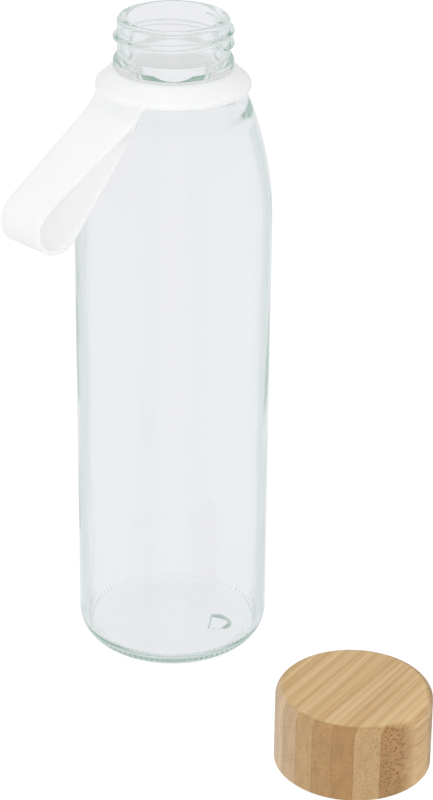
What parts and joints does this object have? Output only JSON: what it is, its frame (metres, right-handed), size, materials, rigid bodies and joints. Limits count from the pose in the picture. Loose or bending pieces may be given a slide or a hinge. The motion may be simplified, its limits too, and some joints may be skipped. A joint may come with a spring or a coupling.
{
  "type": "glass water bottle",
  "caption": "Clear glass drinking bottle with a threaded neck, a white silicone collar and carrying loop, and a laminated bamboo screw cap standing beside it.",
  "frame": {"origin": "centre of the bearing ring under the bottle, on the table", "axes": "+Z along the bottle's axis to its mouth; the picture looks along +Y, with +X to the right"},
  "size_m": [0.1393, 0.1398, 0.224],
  "materials": {
    "clear_glass": "clear flint glass with a faint green edge",
    "white_silicone": "matte moulded silicone",
    "gasket_silicone": "translucent silicone",
    "cap_plastic": "natural moulded polypropylene",
    "bamboo_light": "fine sanded, matte lacquer",
    "bamboo_honey": "fine sanded, matte lacquer",
    "bamboo_tan": "fine sanded, matte lacquer"
  },
  "bodies": {
    "bottle": {"glass_bottle": "clear_glass"},
    "collar": {"strap_collar": "white_silicone"},
    "loop": {"strap_loop": "white_silicone"},
    "gasket": {"cap_gasket": "gasket_silicone"},
    "cap": {"cap_insert": "cap_plastic", "bamboo_strip_1": "bamboo_light", "bamboo_strip_2": "bamboo_light", "bamboo_strip_3": "bamboo_light", "bamboo_strip_4": "bamboo_honey", "bamboo_strip_5": "bamboo_tan", "bamboo_strip_6": "bamboo_tan", "bamboo_strip_7": "bamboo_honey", "bamboo_strip_8": "bamboo_tan"}
  },
  "joints": [
    {"name": "strap_turn", "type": "hinge", "parent": "bottle", "child": "collar", "pos_m": [0, 0, 0.2036], "axis": [0, 0, 1], "continuous": true},
    {"name": "strap_flex", "type": "hinge", "parent": "collar", "child": "loop", "pos_m": [-0.02007, -0.01938, 0.19665], "axis": [-0.6947, 0.7193, 0], "range_deg": [-18, 110]},
    {"name": "cap_carry", "type": "slide", "parent": "bottle", "child": "gasket", "axis": [-0.1389, 0.1895, 0.972], "range_m": [0, 0.4321]},
    {"name": "cap_turn", "type": "hinge", "parent": "gasket", "child": "cap", "pos_m": [0.06, -0.0819, 0], "axis": [0, 0, 1], "range_deg": [-450, 0]}
  ]
}
